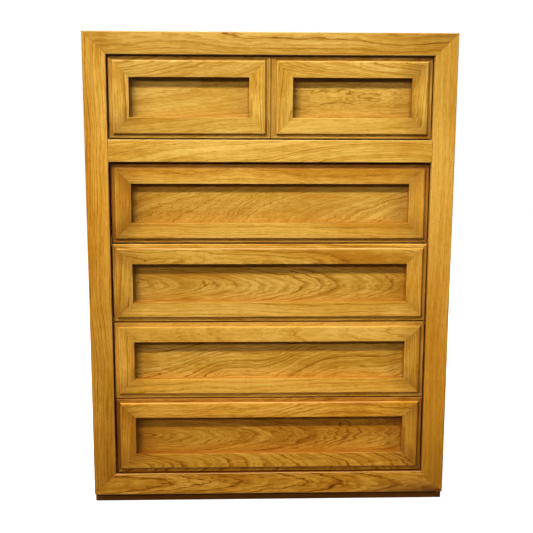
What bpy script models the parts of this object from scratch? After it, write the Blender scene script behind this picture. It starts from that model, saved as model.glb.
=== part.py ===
"""A tall oak chest of five drawers. A mitred face frame closes the front of a plain case on a dark
plinth. Each drawer front is a moulded, mitred frame round a sunk panel, which is the finger pull.
The top drawer carries two such frames side by side.

Metres, +Z up. The front faces -Y, and the origin is on the floor under the middle of the case."""

import math

import bmesh
import bpy
from mathutils import Vector

# Case
CASE_WIDTH = 0.9652
CASE_DEPTH = 0.4572
CASE_HEIGHT = 1.2700
SIDE_BOARD = 0.0190
TOP_BOARD = 0.0190
BOTTOM_BOARD = 0.0120
BOTTOM_RAISE = 0.0190
BACK_BOARD = 0.0060
BACK_RABBET = 0.0100
BOARD_EASE = 0.0012

# Plinth
PLINTH_HEIGHT = 0.0254
PLINTH_SETBACK = 0.0190
PLINTH_BOARD = 0.0190

# Face frame
FACE_BOARD = 0.0190
STILE = 0.0605
TOP_RAIL = 0.0580
CROSS_RAIL = 0.0585
BOTTOM_RAIL = 0.0605
FACE_EASE = 0.0016

# Drawer openings and the gaps round the fronts
TOP_OPENING = 0.2145
LOWER_DRAWERS = 4
FRONT_GAP = 0.0028
FRONT_SIDE_GAP = 0.0033

# Moulded drawer-front frame
FRAME_SETBACK = 0.0010
LIP = 0.0105
PAIR_LIP = 0.0134
LIP_DROP = 0.0080
LIP_EASE = 0.0012
RAISED = 0.0430
THUMB_RADIUS = 0.0068
RECESS_EASE = 0.0010

# Drawer box
FRONT_BOARD = 0.0160
DRAWER_SIDE = 0.0120
DRAWER_BACK = 0.0120
DRAWER_BOTTOM = 0.0060
GROOVE_DEPTH = 0.0060
GROOVE_RAISE = 0.0120
BOX_RAISE = 0.0080
REAR_CLEARANCE = 0.0120

# Lapped dovetails between a drawer's sides and its front board
TAILS = 4
TAIL_LENGTH = 0.0110
PIN = 0.0120
TAIL_SLOPE = 1 / 7

# Rails and runners inside the case
DIVIDER_HEIGHT = 0.0180
DIVIDER_DEPTH = 0.0450
KICK_CLEARANCE = 0.0030
GUIDE_CLEARANCE = 0.0015
GUIDE_HEIGHT = 0.0200
BEARING = 0.0200

# Gap between faces that touch, reach of a cutter past its work, and facets of a rounded corner
SEAT = 0.0003
CUTTER_REACH = 0.0020
EASE_STEPS = 2
THUMB_STEPS = 6

# Places that follow from the sizes above. Depths are measured back from the front of the face frame.
FRONT = -CASE_DEPTH / 2
HALF_WIDTH = CASE_WIDTH / 2
INNER_HALF = HALF_WIDTH - SIDE_BOARD
OPENING_HALF = HALF_WIDTH - STILE
FACE_BACK = FACE_BOARD + SEAT
BACK_FRONT = CASE_DEPTH - BACK_BOARD

LOWER_SILL = PLINTH_HEIGHT + BOTTOM_RAIL
TOP_HEAD = CASE_HEIGHT - TOP_RAIL
TOP_SILL = TOP_HEAD - TOP_OPENING
LOWER_HEAD = TOP_SILL - CROSS_RAIL

FRAME_STOCK = FACE_BOARD - FRAME_SETBACK
PANEL_FACE = FACE_BOARD + SEAT
PANEL_BACK = PANEL_FACE + FRONT_BOARD
DRAWER_HALF = OPENING_HALF - FRONT_SIDE_GAP
DRAWER_REAR = BACK_FRONT - REAR_CLEARANCE
TAIL_TIP = PANEL_BACK - TAIL_LENGTH

TOP_FRONT_HEIGHT = TOP_OPENING - 2 * FRONT_GAP
LOWER_FRONT_HEIGHT = (LOWER_HEAD - LOWER_SILL - (LOWER_DRAWERS + 1) * FRONT_GAP) / LOWER_DRAWERS
BOX_MARGIN = DIVIDER_HEIGHT + KICK_CLEARANCE + SEAT - FRONT_GAP


def drawer_levels():
    """(bottom, height) of each drawer front, from the top drawer down."""
    levels = [(TOP_SILL + FRONT_GAP, TOP_FRONT_HEIGHT)]
    pitch = LOWER_FRONT_HEIGHT + FRONT_GAP
    for row in reversed(range(LOWER_DRAWERS)):
        levels.append((LOWER_SILL + FRONT_GAP + row * pitch, LOWER_FRONT_HEIGHT))
    return levels


def box_levels(bottom, height):
    """Lower and upper edge of the drawer box behind a front."""
    return bottom + BOX_RAISE, bottom + BOX_RAISE + height - BOX_MARGIN


def clear_scene():
    for obj in list(bpy.data.objects):
        bpy.data.objects.remove(obj, do_unlink=True)


def wood(name, colour, roughness):
    material = bpy.data.materials.new(name)
    material.use_nodes = True
    shader = material.node_tree.nodes["Principled BSDF"]
    shader.inputs["Base Color"].default_value = (*colour, 1)
    shader.inputs["Roughness"].default_value = roughness
    shader.inputs["Metallic"].default_value = 0
    material.diffuse_color = (*colour, 1)
    return material


def group(name, location):
    """An empty that carries the pieces of one rigid body."""
    empty = bpy.data.objects.new(name, None)
    empty.empty_display_size = 0.05
    empty.location = location
    bpy.context.scene.collection.objects.link(empty)
    return empty


def place(name, mesh, parent, location, material):
    """An object under its group, with its place given in the chest's own frame."""
    obj = bpy.data.objects.new(name, mesh)
    obj.parent = parent
    obj.location = Vector(location) - parent.location
    mesh.materials.append(material)
    bpy.context.scene.collection.objects.link(obj)
    return obj


def finished_mesh(name, shape):
    bmesh.ops.recalc_face_normals(shape, faces=shape.faces)
    mesh = bpy.data.meshes.new(name)
    shape.to_mesh(mesh)
    shape.free()
    return mesh


def box_mesh(name, low, high):
    """A box about its own middle, and that middle."""
    shape = bmesh.new()
    bmesh.ops.create_cube(shape, size=1)
    bmesh.ops.scale(shape, vec=Vector(high) - Vector(low), verts=shape.verts)
    return finished_mesh(name, shape), (Vector(low) + Vector(high)) / 2


def board(name, parent, low, high, material, ease=0):
    """A flat board between two corners, its edges eased."""
    mesh, middle = box_mesh(name, low, high)
    obj = place(name, mesh, parent, middle, material)
    if ease:
        bevel = obj.modifiers.new("eased edges", "BEVEL")
        bevel.width = ease
        bevel.segments = EASE_STEPS
    return obj


def rounded(corners):
    """An outline whose corners (u, v, radius, steps) become arcs where they have a radius."""
    points = []
    for index, (u, v, radius, steps) in enumerate(corners):
        corner = Vector((u, v))
        if not radius:
            points.append(corner)
            continue
        before = Vector(corners[index - 1][:2])
        after = Vector(corners[(index + 1) % len(corners)][:2])
        start = corner + radius * (before - corner).normalized()
        end = corner + radius * (after - corner).normalized()
        centre = start + end - corner
        for step in range(steps + 1):
            turn = math.pi / 2 * step / steps
            points.append(centre + math.cos(turn) * (start - centre) + math.sin(turn) * (end - centre))
    return points


def add_prism(shape, outline, ends, to_space):
    """Extrudes an outline of (u, v) between the two ends that ends(u) gives."""
    loops = []
    for end in range(2):
        loops.append([shape.verts.new(to_space(u, v, ends(u)[end])) for u, v in outline])
    shape.faces.new(loops[0])
    shape.faces.new(list(reversed(loops[1])))
    for index in range(len(outline)):
        after = (index + 1) % len(outline)
        shape.faces.new((loops[0][index], loops[1][index], loops[1][after], loops[0][after]))


def cut(obj, cutter_mesh, location):
    """Takes a hidden cutter's shape out of a piece."""
    cutter = bpy.data.objects.new(f"{cutter_mesh.name}_cutter", cutter_mesh)
    cutter.parent = obj.parent
    cutter.location = Vector(location) - obj.parent.location
    cutter.hide_render = True
    cutter.display_type = "WIRE"
    bpy.context.scene.collection.objects.link(cutter)
    modifier = obj.modifiers.new(cutter_mesh.name, "BOOLEAN")
    modifier.operation = "DIFFERENCE"
    modifier.solver = "EXACT"
    modifier.object = cutter


def make_plinth(case, stain):
    """Four boards on edge, set back at the front, that lift the case off the floor."""
    top = PLINTH_HEIGHT - SEAT
    front = FRONT + PLINTH_SETBACK
    rear = -FRONT
    inner = HALF_WIDTH - PLINTH_BOARD - SEAT
    for name, near in (("plinth_front", front), ("plinth_back", rear - PLINTH_BOARD)):
        board(name, case, (-inner, near, 0), (inner, near + PLINTH_BOARD, top), stain, BOARD_EASE)
    for name, low in (("plinth_left", -HALF_WIDTH), ("plinth_right", HALF_WIDTH - PLINTH_BOARD)):
        board(name, case, (low, front, 0), (low + PLINTH_BOARD, rear, top), stain, BOARD_EASE)


def make_case_boards(case, oak, plywood):
    """Two sides, rabbeted at the rear for the back, the top over them and the bottom between them."""
    side_top = CASE_HEIGHT - TOP_BOARD - SEAT
    rabbet_depth = BACK_FRONT - SEAT
    for name, sign in (("left_side_panel", -1), ("right_side_panel", 1)):
        corners = (
            (0, FACE_BACK, 0, 0),
            (SIDE_BOARD, FACE_BACK, 0, 0),
            (SIDE_BOARD, CASE_DEPTH, BOARD_EASE, EASE_STEPS),
            (BACK_RABBET + SEAT, CASE_DEPTH, 0, 0),
            (BACK_RABBET + SEAT, rabbet_depth, 0, 0),
            (0, rabbet_depth, 0, 0),
        )
        shape = bmesh.new()
        add_prism(
            shape,
            rounded(corners),
            lambda u: (PLINTH_HEIGHT, side_top),
            lambda u, v, z: (sign * u, FRONT + v, z),
        )
        place(name, finished_mesh(name, shape), case, (sign * INNER_HALF, 0, 0), oak)
    board(
        "top_panel",
        case,
        (-HALF_WIDTH, FRONT + FACE_BACK, CASE_HEIGHT - TOP_BOARD),
        (HALF_WIDTH, -FRONT, CASE_HEIGHT),
        oak,
        BOARD_EASE,
    )
    bottom_low = PLINTH_HEIGHT + BOTTOM_RAISE
    board(
        "bottom_panel",
        case,
        (-INNER_HALF + SEAT, FRONT + FACE_BACK, bottom_low),
        (INNER_HALF - SEAT, FRONT + BACK_FRONT - SEAT, bottom_low + BOTTOM_BOARD),
        plywood,
    )
    back_half = INNER_HALF + BACK_RABBET
    board(
        "back_panel",
        case,
        (-back_half, FRONT + BACK_FRONT, PLINTH_HEIGHT),
        (back_half, -FRONT, side_top),
        plywood,
    )


def face_section(width):
    """Cross-section of a face-frame member: u from its outer edge, v back from its face."""
    return rounded(
        (
            (0, 0, FACE_EASE, EASE_STEPS),
            (width, 0, FACE_EASE, EASE_STEPS),
            (width, FACE_BOARD, 0, 0),
            (0, FACE_BOARD, 0, 0),
        )
    )


def make_face_frame(case, oak):
    """Stiles and rails mitred corner to corner, and the cross rail between the stiles."""
    mitre = SEAT / math.sqrt(2)

    for name, sign in (("face_left_stile", -1), ("face_right_stile", 1)):
        shape = bmesh.new()
        add_prism(
            shape,
            face_section(STILE),
            lambda u: (
                PLINTH_HEIGHT + u * BOTTOM_RAIL / STILE + mitre,
                CASE_HEIGHT - u * TOP_RAIL / STILE - mitre,
            ),
            lambda u, v, z: (-sign * u, v, z),
        )
        place(name, finished_mesh(name, shape), case, (sign * HALF_WIDTH, FRONT, 0), oak)

    rails = (
        ("face_top_rail", TOP_RAIL, CASE_HEIGHT, -1),
        ("face_bottom_rail", BOTTOM_RAIL, PLINTH_HEIGHT, 1),
    )
    for name, width, outer, inward in rails:
        shape = bmesh.new()
        add_prism(
            shape,
            face_section(width),
            lambda u: (
                -HALF_WIDTH + u * STILE / width + mitre,
                HALF_WIDTH - u * STILE / width - mitre,
            ),
            lambda u, v, x: (x, v, inward * u),
        )
        place(name, finished_mesh(name, shape), case, (0, FRONT, outer), oak)

    shape = bmesh.new()
    reach = OPENING_HALF - SEAT
    add_prism(
        shape,
        face_section(CROSS_RAIL),
        lambda u: (-reach, reach),
        lambda u, v, x: (x, v, u),
    )
    name = "face_cross_rail"
    place(name, finished_mesh(name, shape), case, (0, FRONT, LOWER_HEAD), oak)


def make_dividers(case, hardwood):
    """Rails behind the lips of the fronts: they stop the drawers, and the box below kicks on them."""
    levels = drawer_levels()
    names = ["kicker_rail", None] + [f"divider_rail_{row}" for row in range(1, LOWER_DRAWERS)]
    for name, (bottom, height) in zip(names, levels):
        if name is None:
            continue
        low = box_levels(bottom, height)[1] + KICK_CLEARANCE
        board(
            name,
            case,
            (-INNER_HALF + SEAT, FRONT + FACE_BACK, low),
            (INNER_HALF - SEAT, FRONT + FACE_BACK + DIVIDER_DEPTH, low + DIVIDER_HEIGHT),
            hardwood,
        )


def make_runners(case, hardwood):
    """A rabbeted runner on each side of each drawer: a bearer under the box and a guide beside it."""
    levels = drawer_levels()
    guide = INNER_HALF - DRAWER_HALF - GUIDE_CLEARANCE
    bearer = INNER_HALF - DRAWER_HALF + BEARING
    for number, (bottom, height) in enumerate(levels, 1):
        top = box_levels(bottom, height)[0] - SEAT
        low = top - DIVIDER_HEIGHT
        if number == 1:
            low = box_levels(*levels[1])[1] + KICK_CLEARANCE
        on_face_frame = number in (1, len(levels))
        near = FACE_BACK if on_face_frame else FACE_BACK + DIVIDER_DEPTH + SEAT
        far = BACK_FRONT - SEAT
        corners = (
            (SEAT, low, 0, 0),
            (bearer, low, 0, 0),
            (bearer, top, 0, 0),
            (guide, top, 0, 0),
            (guide, top + GUIDE_HEIGHT, 0, 0),
            (SEAT, top + GUIDE_HEIGHT, 0, 0),
        )
        for side, sign in (("left", -1), ("right", 1)):
            name = f"runner_{side}_{number}"
            shape = bmesh.new()
            add_prism(
                shape,
                rounded(corners),
                lambda u: (near, far),
                lambda u, v, y: (-sign * u, y, v),
            )
            place(name, finished_mesh(name, shape), case, (sign * INNER_HALF, FRONT, 0), hardwood)


def frame_section():
    """Section of the front frame: a thin lip, a thumb-rounded step and a flat face to the recess."""
    return rounded(
        (
            (0, FRAME_STOCK, 0, 0),
            (0, LIP_DROP, LIP_EASE, EASE_STEPS),
            (LIP, LIP_DROP, 0, 0),
            (LIP, 0, THUMB_RADIUS, THUMB_STEPS),
            (LIP + RAISED, 0, RECESS_EASE, EASE_STEPS),
            (LIP + RAISED, FRAME_STOCK, 0, 0),
        )
    )


def frame_mesh(name, left, right, height, left_lip, right_lip):
    """The section swept round a rectangle with mitred corners. A lip may be wider on one side."""
    shape = bmesh.new()
    loops = []
    for u, v in frame_section():
        on_step = u > LIP - SEAT
        x_low = left + u + (left_lip - LIP) * on_step
        x_high = right - u - (right_lip - LIP) * on_step
        z_high = height / 2 - u
        corners = ((x_low, -z_high), (x_high, -z_high), (x_high, z_high), (x_low, z_high))
        loops.append([shape.verts.new((x, v, z)) for x, z in corners])
    for index, loop in enumerate(loops):
        after = loops[(index + 1) % len(loops)]
        for corner in range(4):
            other = (corner + 1) % 4
            shape.faces.new((loop[corner], loop[other], after[other], after[corner]))
    return finished_mesh(name, shape)


def tail_places(low, high):
    """Middle height and half-width at the tip of each dovetail."""
    cell = (high - low) / TAILS
    half = (cell - PIN) / 2
    return [(low + cell * (index + 0.5), half) for index in range(TAILS)]


def tail_outline(middle, half, clearance, far):
    """One dovetail, grown by a clearance: (depth, height) points from its tip back to a depth."""
    near = TAIL_TIP - clearance
    near_half = half + clearance + TAIL_SLOPE * clearance
    far_half = near_half - TAIL_SLOPE * (far - near)
    return (
        (far, middle - far_half),
        (near, middle - near_half),
        (near, middle + near_half),
        (far, middle + far_half),
    )


def make_front_board(number, drawer, low, high, oak):
    """The sunk panel and box front in one: sockets for the side's tails, and the bottom's groove."""
    name = f"drawer_{number}_front_board"
    front = board(
        name,
        drawer,
        (-DRAWER_HALF, FRONT + PANEL_FACE, low),
        (DRAWER_HALF, FRONT + PANEL_BACK, high),
        oak,
    )
    sockets = bmesh.new()
    socket_floor = DRAWER_HALF - DRAWER_SIDE - SEAT
    for sign in (-1, 1):
        for middle, half in tail_places(low, high):
            add_prism(
                sockets,
                tail_outline(middle, half, SEAT, PANEL_BACK + CUTTER_REACH),
                lambda u: (socket_floor, DRAWER_HALF + CUTTER_REACH),
                lambda u, v, x: (sign * x, FRONT + u, v),
            )
    cut(front, finished_mesh(f"drawer_{number}_sockets", sockets), (0, 0, 0))
    reach = DRAWER_HALF - DRAWER_SIDE + GROOVE_DEPTH + SEAT
    groove, middle = box_mesh(
        f"drawer_{number}_front_groove",
        (-reach, FRONT + PANEL_BACK - GROOVE_DEPTH - SEAT, low + GROOVE_RAISE - SEAT),
        (reach, FRONT + PANEL_BACK + CUTTER_REACH, low + GROOVE_RAISE + DRAWER_BOTTOM + SEAT),
    )
    cut(front, groove, middle)


def make_drawer_side(number, drawer, side, sign, low, high, material):
    """A box side, dovetailed into the front board and grooved for the bottom."""
    name = f"drawer_{number}_{side}_side"
    shoulder = PANEL_BACK + SEAT
    outline = [(DRAWER_REAR, low), (shoulder, low)]
    for middle, half in tail_places(low, high):
        outline.extend(tail_outline(middle, half, 0, shoulder))
    outline.extend([(shoulder, high), (DRAWER_REAR, high)])
    shape = bmesh.new()
    inner = DRAWER_HALF - DRAWER_SIDE
    add_prism(
        shape,
        outline,
        lambda u: (inner, DRAWER_HALF),
        lambda u, v, x: (sign * x, FRONT + u, v),
    )
    obj = place(name, finished_mesh(name, shape), drawer, (0, 0, 0), material)
    ends = sorted((sign * (inner - CUTTER_REACH), sign * (inner + GROOVE_DEPTH + SEAT)))
    groove, middle = box_mesh(
        f"drawer_{number}_{side}_groove",
        (ends[0], FRONT + TAIL_TIP - CUTTER_REACH, low + GROOVE_RAISE - SEAT),
        (ends[1], FRONT + DRAWER_REAR + CUTTER_REACH, low + GROOVE_RAISE + DRAWER_BOTTOM + SEAT),
    )
    cut(obj, groove, middle)


def make_drawer_box(number, drawer, low, high, oak, hardwood, plywood):
    make_front_board(number, drawer, low, high, oak)
    for side, sign in (("left", -1), ("right", 1)):
        make_drawer_side(number, drawer, side, sign, low, high, hardwood)
    panel_low = low + GROOVE_RAISE
    panel_high = panel_low + DRAWER_BOTTOM
    panel_half = DRAWER_HALF - DRAWER_SIDE + GROOVE_DEPTH
    board(
        f"drawer_{number}_bottom",
        drawer,
        (-panel_half, FRONT + PANEL_BACK - GROOVE_DEPTH, panel_low),
        (panel_half, FRONT + DRAWER_REAR, panel_high),
        plywood,
    )
    back_half = DRAWER_HALF - DRAWER_SIDE - SEAT
    board(
        f"drawer_{number}_back",
        drawer,
        (-back_half, FRONT + DRAWER_REAR - DRAWER_BACK, panel_high + SEAT),
        (back_half, FRONT + DRAWER_REAR, high),
        hardwood,
    )


def make_front_frames(number, drawer, bottom, height, oak):
    """One frame across a lower drawer, and a pair that meet at a seam on the top drawer."""
    middle = (0, FRONT + FRAME_SETBACK, bottom + height / 2)
    if number > 1:
        name = f"drawer_{number}_frame"
        mesh = frame_mesh(name, -DRAWER_HALF, DRAWER_HALF, height, LIP, LIP)
        place(name, mesh, drawer, middle, oak)
        return
    seam = SEAT / 2
    pair = (
        ("drawer_1_frame_left", -DRAWER_HALF, -seam, LIP, PAIR_LIP),
        ("drawer_1_frame_right", seam, DRAWER_HALF, PAIR_LIP, LIP),
    )
    for name, left, right, left_lip, right_lip in pair:
        mesh = frame_mesh(name, left, right, height, left_lip, right_lip)
        place(name, mesh, drawer, middle, oak)


def main():
    clear_scene()
    oak = wood("honey_oak", (0.55, 0.27, 0.055), 0.42)
    stain = wood("dark_stain", (0.070, 0.030, 0.010), 0.55)
    hardwood = wood("pale_hardwood", (0.58, 0.42, 0.24), 0.60)
    plywood = wood("plywood", (0.52, 0.36, 0.19), 0.65)

    case = group("case", (0, 0, 0))
    make_plinth(case, stain)
    make_case_boards(case, oak, plywood)
    make_face_frame(case, oak)
    make_dividers(case, hardwood)
    make_runners(case, hardwood)

    for number, (bottom, height) in enumerate(drawer_levels(), 1):
        drawer = group(f"drawer_{number}", (0, FRONT, bottom + height / 2))
        low, high = box_levels(bottom, height)
        make_drawer_box(number, drawer, low, high, oak, hardwood, plywood)
        make_front_frames(number, drawer, bottom, height, oak)


main()
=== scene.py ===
# %% [markdown]
# # An oak chest of drawers
#
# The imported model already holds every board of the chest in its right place, and it knows how the
# five drawers slide. This lesson adds the looks around it: light, camera, the oak itself, the
# moulded drawer fronts in four mitred pieces each, and the small steel that holds it together.
#
# Everything is in metres. The chest stands on the floor, its front looks towards -Y, and every new
# piece is told which body carries it, so it moves when a drawer is pulled.

import math

import bmesh
import bpy
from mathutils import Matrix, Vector


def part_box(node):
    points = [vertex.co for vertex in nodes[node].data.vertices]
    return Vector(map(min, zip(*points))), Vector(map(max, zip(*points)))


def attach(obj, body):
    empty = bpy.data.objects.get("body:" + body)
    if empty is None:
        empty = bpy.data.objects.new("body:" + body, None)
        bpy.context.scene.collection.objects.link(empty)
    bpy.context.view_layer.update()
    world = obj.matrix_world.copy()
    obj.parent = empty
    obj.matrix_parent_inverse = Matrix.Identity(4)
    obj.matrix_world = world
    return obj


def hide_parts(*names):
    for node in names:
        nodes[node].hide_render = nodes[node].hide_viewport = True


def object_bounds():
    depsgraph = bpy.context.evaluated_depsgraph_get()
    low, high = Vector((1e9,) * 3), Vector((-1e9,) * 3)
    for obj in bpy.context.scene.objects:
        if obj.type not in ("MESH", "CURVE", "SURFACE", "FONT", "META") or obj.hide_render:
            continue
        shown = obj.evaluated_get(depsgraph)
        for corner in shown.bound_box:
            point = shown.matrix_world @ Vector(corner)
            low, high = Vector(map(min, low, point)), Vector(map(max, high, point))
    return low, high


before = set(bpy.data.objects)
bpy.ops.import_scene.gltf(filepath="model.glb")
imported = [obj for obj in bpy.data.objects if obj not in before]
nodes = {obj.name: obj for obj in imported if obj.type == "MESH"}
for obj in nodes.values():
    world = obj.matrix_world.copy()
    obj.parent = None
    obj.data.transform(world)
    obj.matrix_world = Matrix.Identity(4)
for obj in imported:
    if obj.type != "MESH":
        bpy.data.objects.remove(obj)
cad_low, cad_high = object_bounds()

print("boards in the model:", len(nodes))

# %% [markdown]
# ## The camera
#
# The picture was taken from a little above the middle of the chest, and a little to the left of
# it, by someone standing about 2.3 m in front. The four corners of the face frame fix all of that,
# because there is only one place from which they line up. A longer lens from further back would
# give the same size of chest, but its sides would run more nearly parallel.

# %% Camera
CAMERA_PLACE = (-0.0876, -2.5518, 1.0546)
CAMERA_TURN = (80.465, -0.207, -1.861)
SENSOR = 36.0
LENS = 59.89

camera_data = bpy.data.cameras.new("camera")
camera_data.sensor_width = SENSOR
camera_data.lens = LENS
camera = bpy.data.objects.new("camera", camera_data)
camera.location = CAMERA_PLACE
camera.rotation_euler = [math.radians(angle) for angle in CAMERA_TURN]
bpy.context.scene.collection.objects.link(camera)
bpy.context.scene.camera = camera

print("camera", round(-CAMERA_PLACE[1] + cad_low[1], 3), "m in front of the chest")

# %% [markdown]
# ## Light and floor
#
# Under each moulding the picture shows two shadow edges, one about 11 mm down and one about 26 mm
# down, and both are crisp, while shadows to the side are soft. So there are two long rows of lamps,
# a steep one and a flatter one, both above the camera. Every lamp of a row is at one height and one
# distance, which keeps the shadow edge straight, and each row reaches far out to the left, which
# blurs shadows sideways. The flatter row is a little warmer. The beams are narrow and aimed high, so
# the foot of the chest is darker than its head. Three broad lamps at the sides and behind light what
# the rows can't reach.
#
# The floor is white to the camera, but light that bounces off it counts as coming from a duller
# floor, so that the dark line under each moulding stays dark.

# %% Lamps
def add_lamp(name, place, aim, width, height, power, spread=180, colour=(1, 1, 1)):
    """A rectangular lamp at a place, turned to face a point, with its beam as wide as the spread."""
    data = bpy.data.lights.new(name, "AREA")
    data.shape = "RECTANGLE"
    data.size = width
    data.size_y = height
    data.energy = power
    data.color = colour
    data.spread = math.radians(spread)
    lamp = bpy.data.objects.new(name, data)
    lamp.location = place
    lamp.rotation_euler = (Vector(aim) - Vector(place)).to_track_quat("-Z", "Y").to_euler()
    lamp.visible_camera = False
    bpy.context.scene.collection.objects.link(lamp)
    return lamp


ROW_STRENGTHS = (1.0, 0.6, 0.35)
#   name, places from left to right, y, z, height aimed at, spread of the beam, a lamp's width and
#   height, power and colour
LAMP_ROWS = (
    ("steep", (-2.67, -1.33, 0.22), -2.6, 4.6, 1.9, 60, 0.9, 0.10, 21.9, (1, 1, 1)),
    ("flat", (-9.0, -4.5, 0.6), -8.23, 5.8, 3.9, 56, 2.0, 0.22, 44, (1, 0.88, 0.84)),
)
#   name, x, y, power
SIDE_LAMPS = (("left", -3.2, 0.9, 34), ("right", 3.2, 0.9, 34), ("rear", 0.6, 3.4, 50))
SIDE_LAMP_Z = 2.0
SIDE_LAMP_AIM = (0, 0.1, 0.6)
SIDE_LAMP_SIZE = (1.8, 1.6)

lamps = []
for row, places, y, z, aim_height, spread, width, height, power, colour in LAMP_ROWS:
    aim = (0, cad_low[1], aim_height)
    for index, x in enumerate(places):
        name = f"{row}_lamp_{index + 1}"
        strength = power * ROW_STRENGTHS[index]
        lamps.append(add_lamp(name, (x, y, z), aim, width, height, strength, spread, colour))
for name, x, y, power in SIDE_LAMPS:
    lamps.append(add_lamp(name + "_lamp", (x, y, SIDE_LAMP_Z), SIDE_LAMP_AIM, *SIDE_LAMP_SIZE, power))
print("lamps:", ", ".join(lamp.name for lamp in lamps))

# %% Floor, backdrop and view
FLOOR_SIZE = 14.0
FLOOR_DULL = (0.05, 0.045, 0.04, 1)
FLOOR_PALE = (0.8, 0.8, 0.8, 1)
# The floor's glow, from near the chest to far away: two distances and a strength for each.
GLOW_REACH = (0.7, 1.8)
GLOW_STRENGTH = (0.88, 1.0)
AMBIENT = 0.012
AMBIENT_COLOUR = (1, 0.97, 0.93, 1)


def seen_directly(tree):
    """1 where the eye, a reflection or a clear material looks at the surface, 0 for bounced light."""
    path = tree.nodes.new("ShaderNodeLightPath")
    seen = path.outputs["Is Camera Ray"]
    for name in ("Is Glossy Ray", "Is Transmission Ray"):
        larger = tree.nodes.new("ShaderNodeMath")
        larger.operation = "MAXIMUM"
        tree.links.new(seen, larger.inputs[0])
        tree.links.new(path.outputs[name], larger.inputs[1])
        seen = larger.outputs[0]
    return seen


def white_floor():
    """White where it is seen, with the shadows kept, and a dull grey for the light it throws back.
    It glows a little more the further it lies from the chest."""
    material = bpy.data.materials.new("floor_paper")
    material.use_nodes = True
    tree = material.node_tree
    tree.nodes.clear()
    seen = seen_directly(tree)
    dull = tree.nodes.new("ShaderNodeBsdfDiffuse")
    dull.inputs["Color"].default_value = FLOOR_DULL
    pale = tree.nodes.new("ShaderNodeBsdfDiffuse")
    pale.inputs["Color"].default_value = FLOOR_PALE
    glow = tree.nodes.new("ShaderNodeEmission")
    place = tree.nodes.new("ShaderNodeTexCoord")
    away = tree.nodes.new("ShaderNodeVectorMath")
    away.operation = "LENGTH"
    tree.links.new(place.outputs["Object"], away.inputs[0])
    brighter = tree.nodes.new("ShaderNodeMapRange")
    for socket, value in zip(brighter.inputs[1:5], GLOW_REACH + GLOW_STRENGTH):
        socket.default_value = value
    tree.links.new(away.outputs["Value"], brighter.inputs[0])
    tree.links.new(brighter.outputs[0], glow.inputs["Strength"])
    both = tree.nodes.new("ShaderNodeAddShader")
    tree.links.new(pale.outputs[0], both.inputs[0])
    tree.links.new(glow.outputs[0], both.inputs[1])
    mix = tree.nodes.new("ShaderNodeMixShader")
    tree.links.new(seen, mix.inputs[0])
    tree.links.new(dull.outputs[0], mix.inputs[1])
    tree.links.new(both.outputs[0], mix.inputs[2])
    output = tree.nodes.new("ShaderNodeOutputMaterial")
    tree.links.new(mix.outputs[0], output.inputs["Surface"])
    return material


floor_mesh = bpy.data.meshes.new("floor")
half = FLOOR_SIZE / 2
floor_mesh.from_pydata(
    [(-half, -half, 0), (half, -half, 0), (half, half, 0), (-half, half, 0)], [], [(0, 1, 2, 3)]
)
floor_mesh.materials.append(white_floor())
floor = bpy.data.objects.new("floor", floor_mesh)
bpy.context.scene.collection.objects.link(floor)

world = bpy.data.worlds.new("studio")
bpy.context.scene.world = world
world.use_nodes = True
sky = world.node_tree
sky.nodes.clear()
white = sky.nodes.new("ShaderNodeBackground")
white.inputs["Color"].default_value = (1, 1, 1, 1)
dim = sky.nodes.new("ShaderNodeBackground")
dim.inputs["Color"].default_value = AMBIENT_COLOUR
dim.inputs["Strength"].default_value = AMBIENT
choose = sky.nodes.new("ShaderNodeMixShader")
sky.links.new(seen_directly(sky), choose.inputs[0])
sky.links.new(dim.outputs[0], choose.inputs[1])
sky.links.new(white.outputs[0], choose.inputs[2])
sky_output = sky.nodes.new("ShaderNodeOutputWorld")
sky.links.new(choose.outputs[0], sky_output.inputs["Surface"])

bpy.context.scene.view_settings.view_transform = "Standard"
print("floor", FLOOR_SIZE, "m wide, ambient light", AMBIENT)

# %% [markdown]
# ## Oak, as it grows
#
# A board's figure isn't a picture printed on it: it is where a flat saw cut went through the
# growth rings of a log. So the oak here is a log too. Every point of a board is measured from the
# heart of its own tree, the distance is divided by the width of a year's growth, and each year
# starts with a dark, porous line that fades into paler summer wood. Where the heart drifts or the
# trunk leans, arches and long flames appear by themselves, and they run on round the edges of the
# board as they do in a real one. Old oak is also redder where it is darker, so at the end red,
# green and blue each fade by a power of their own.
#
# One node group holds all of that. Each board then only says where its log lay.

# %% Small helpers for shader nodes
def feed(tree, socket, value):
    """Links a value that comes from another node, or writes a plain one."""
    if isinstance(value, bpy.types.NodeSocket):
        tree.links.new(value, socket)
    else:
        socket.default_value = value


def calc(tree, operation, *values):
    """One step of arithmetic."""
    node = tree.nodes.new("ShaderNodeMath")
    node.operation = operation
    for socket, value in zip(node.inputs, values):
        feed(tree, socket, value)
    return node.outputs[0]


def calc_three(tree, operation, *values):
    """One step of arithmetic on the three parts of a point or a colour at once."""
    node = tree.nodes.new("ShaderNodeVectorMath")
    node.operation = operation
    for socket, value in zip(node.inputs, values):
        feed(tree, socket, value)
    return node.outputs["Value" if operation == "DOT_PRODUCT" else "Vector"]


def join_three(tree, *values):
    """Three numbers as one point."""
    node = tree.nodes.new("ShaderNodeCombineXYZ")
    for socket, value in zip(node.inputs, values):
        feed(tree, socket, value)
    return node.outputs[0]


def chance(tree, value):
    """A number from 0 to 1 by chance, always the same one for the same value."""
    node = tree.nodes.new("ShaderNodeTexWhiteNoise")
    node.noise_dimensions = "1D"
    feed(tree, node.inputs["W"], value)
    return node.outputs[0]


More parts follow.
